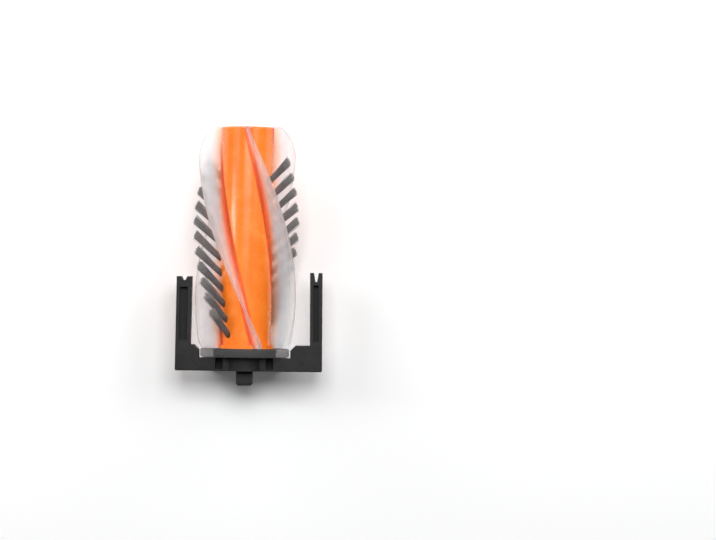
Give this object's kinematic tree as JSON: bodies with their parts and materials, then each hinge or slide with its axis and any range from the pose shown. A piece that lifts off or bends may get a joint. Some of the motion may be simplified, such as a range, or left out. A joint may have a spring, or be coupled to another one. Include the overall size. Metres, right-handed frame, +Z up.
{
  "type": "robot vacuum roller brush",
  "caption": "Half-length roller brush: clear helical blades and bristle rows on a core that spins on a U-shaped end bracket and is driven by a square plug.",
  "frame": {"origin": "on the roller's axis, at the bracket's flat outer face", "axes": "+Y along the roller's axis towards its free tip, +Z up away from the bracket's foot, +X to the right seen from above with the tip pointing away"},
  "size_m": [0.0587, 0.1034, 0.0411],
  "materials": {
    "bracket_plastic": "fine moulded texture",
    "plug_plastic": "smooth",
    "core_plastic": "glossy moulded",
    "blade_clear": "soft, translucent, satin",
    "disc_clear": "soft, translucent, satin",
    "tuft_nylon": "bundled fine bristles",
    "bearing_steel": "ground steel",
    "cage_nylon": "natural nylon",
    "felt": "pressed felt"
  },
  "bodies": {
    "bracket": {"bracket": "bracket_plastic", "bearing_cap": "bracket_plastic", "cap_screws": "bearing_steel", "felt_seal": "felt", "hub_bearing_outer_race": "bearing_steel", "sleeve_bearing_outer_race": "bearing_steel"},
    "ball_sets": {"hub_bearing_balls": "bearing_steel", "hub_bearing_cage": "cage_nylon", "sleeve_bearing_balls": "bearing_steel", "sleeve_bearing_cage": "cage_nylon"},
    "roller": {"drive_shaft": "bearing_steel", "drive_plug": "plug_plastic", "drive_pin": "bearing_steel", "hub_bearing_inner_race": "bearing_steel", "sleeve_bearing_inner_race": "bearing_steel", "race_spacer": "bearing_steel", "retaining_clip": "bearing_steel", "core": "core_plastic", "hair_guard_disc": "disc_clear", "blade_1": "blade_clear", "blade_2": "blade_clear", "blade_3": "blade_clear", "blade_4": "blade_clear", "tuft_a_01": "tuft_nylon", "tuft_a_02": "tuft_nylon", "tuft_a_03": "tuft_nylon", "tuft_a_04": "tuft_nylon", "tuft_a_05": "tuft_nylon", "tuft_a_06": "tuft_nylon", "tuft_a_07": "tuft_nylon", "tuft_a_08": "tuft_nylon", "tuft_a_09": "tuft_nylon", "tuft_a_10": "tuft_nylon", "tuft_a_11": "tuft_nylon", "tuft_b_01": "tuft_nylon", "tuft_b_02": "tuft_nylon", "tuft_b_03": "tuft_nylon", "tuft_b_04": "tuft_nylon", "tuft_b_05": "tuft_nylon", "tuft_b_06": "tuft_nylon", "tuft_b_07": "tuft_nylon", "tuft_b_08": "tuft_nylon", "tuft_b_09": "tuft_nylon", "tuft_b_10": "tuft_nylon", "tuft_b_11": "tuft_nylon", "tip_cap": "core_plastic", "core_screw": "bearing_steel", "core_washer": "bearing_steel"}
  },
  "joints": [
    {"name": "roller_spin", "type": "hinge", "parent": "bracket", "child": "roller", "pos_m": [0, 0, 0], "axis": [0, 1, 0], "continuous": true},
    {"name": "ball_orbit", "type": "hinge", "parent": "bracket", "child": "ball_sets", "pos_m": [0, 0, 0], "axis": [0, 1, 0], "continuous": true}
  ],
  "couplings": [
    {"joint": "ball_orbit", "follows": "roller_spin", "ratio": 0.4}
  ]
}
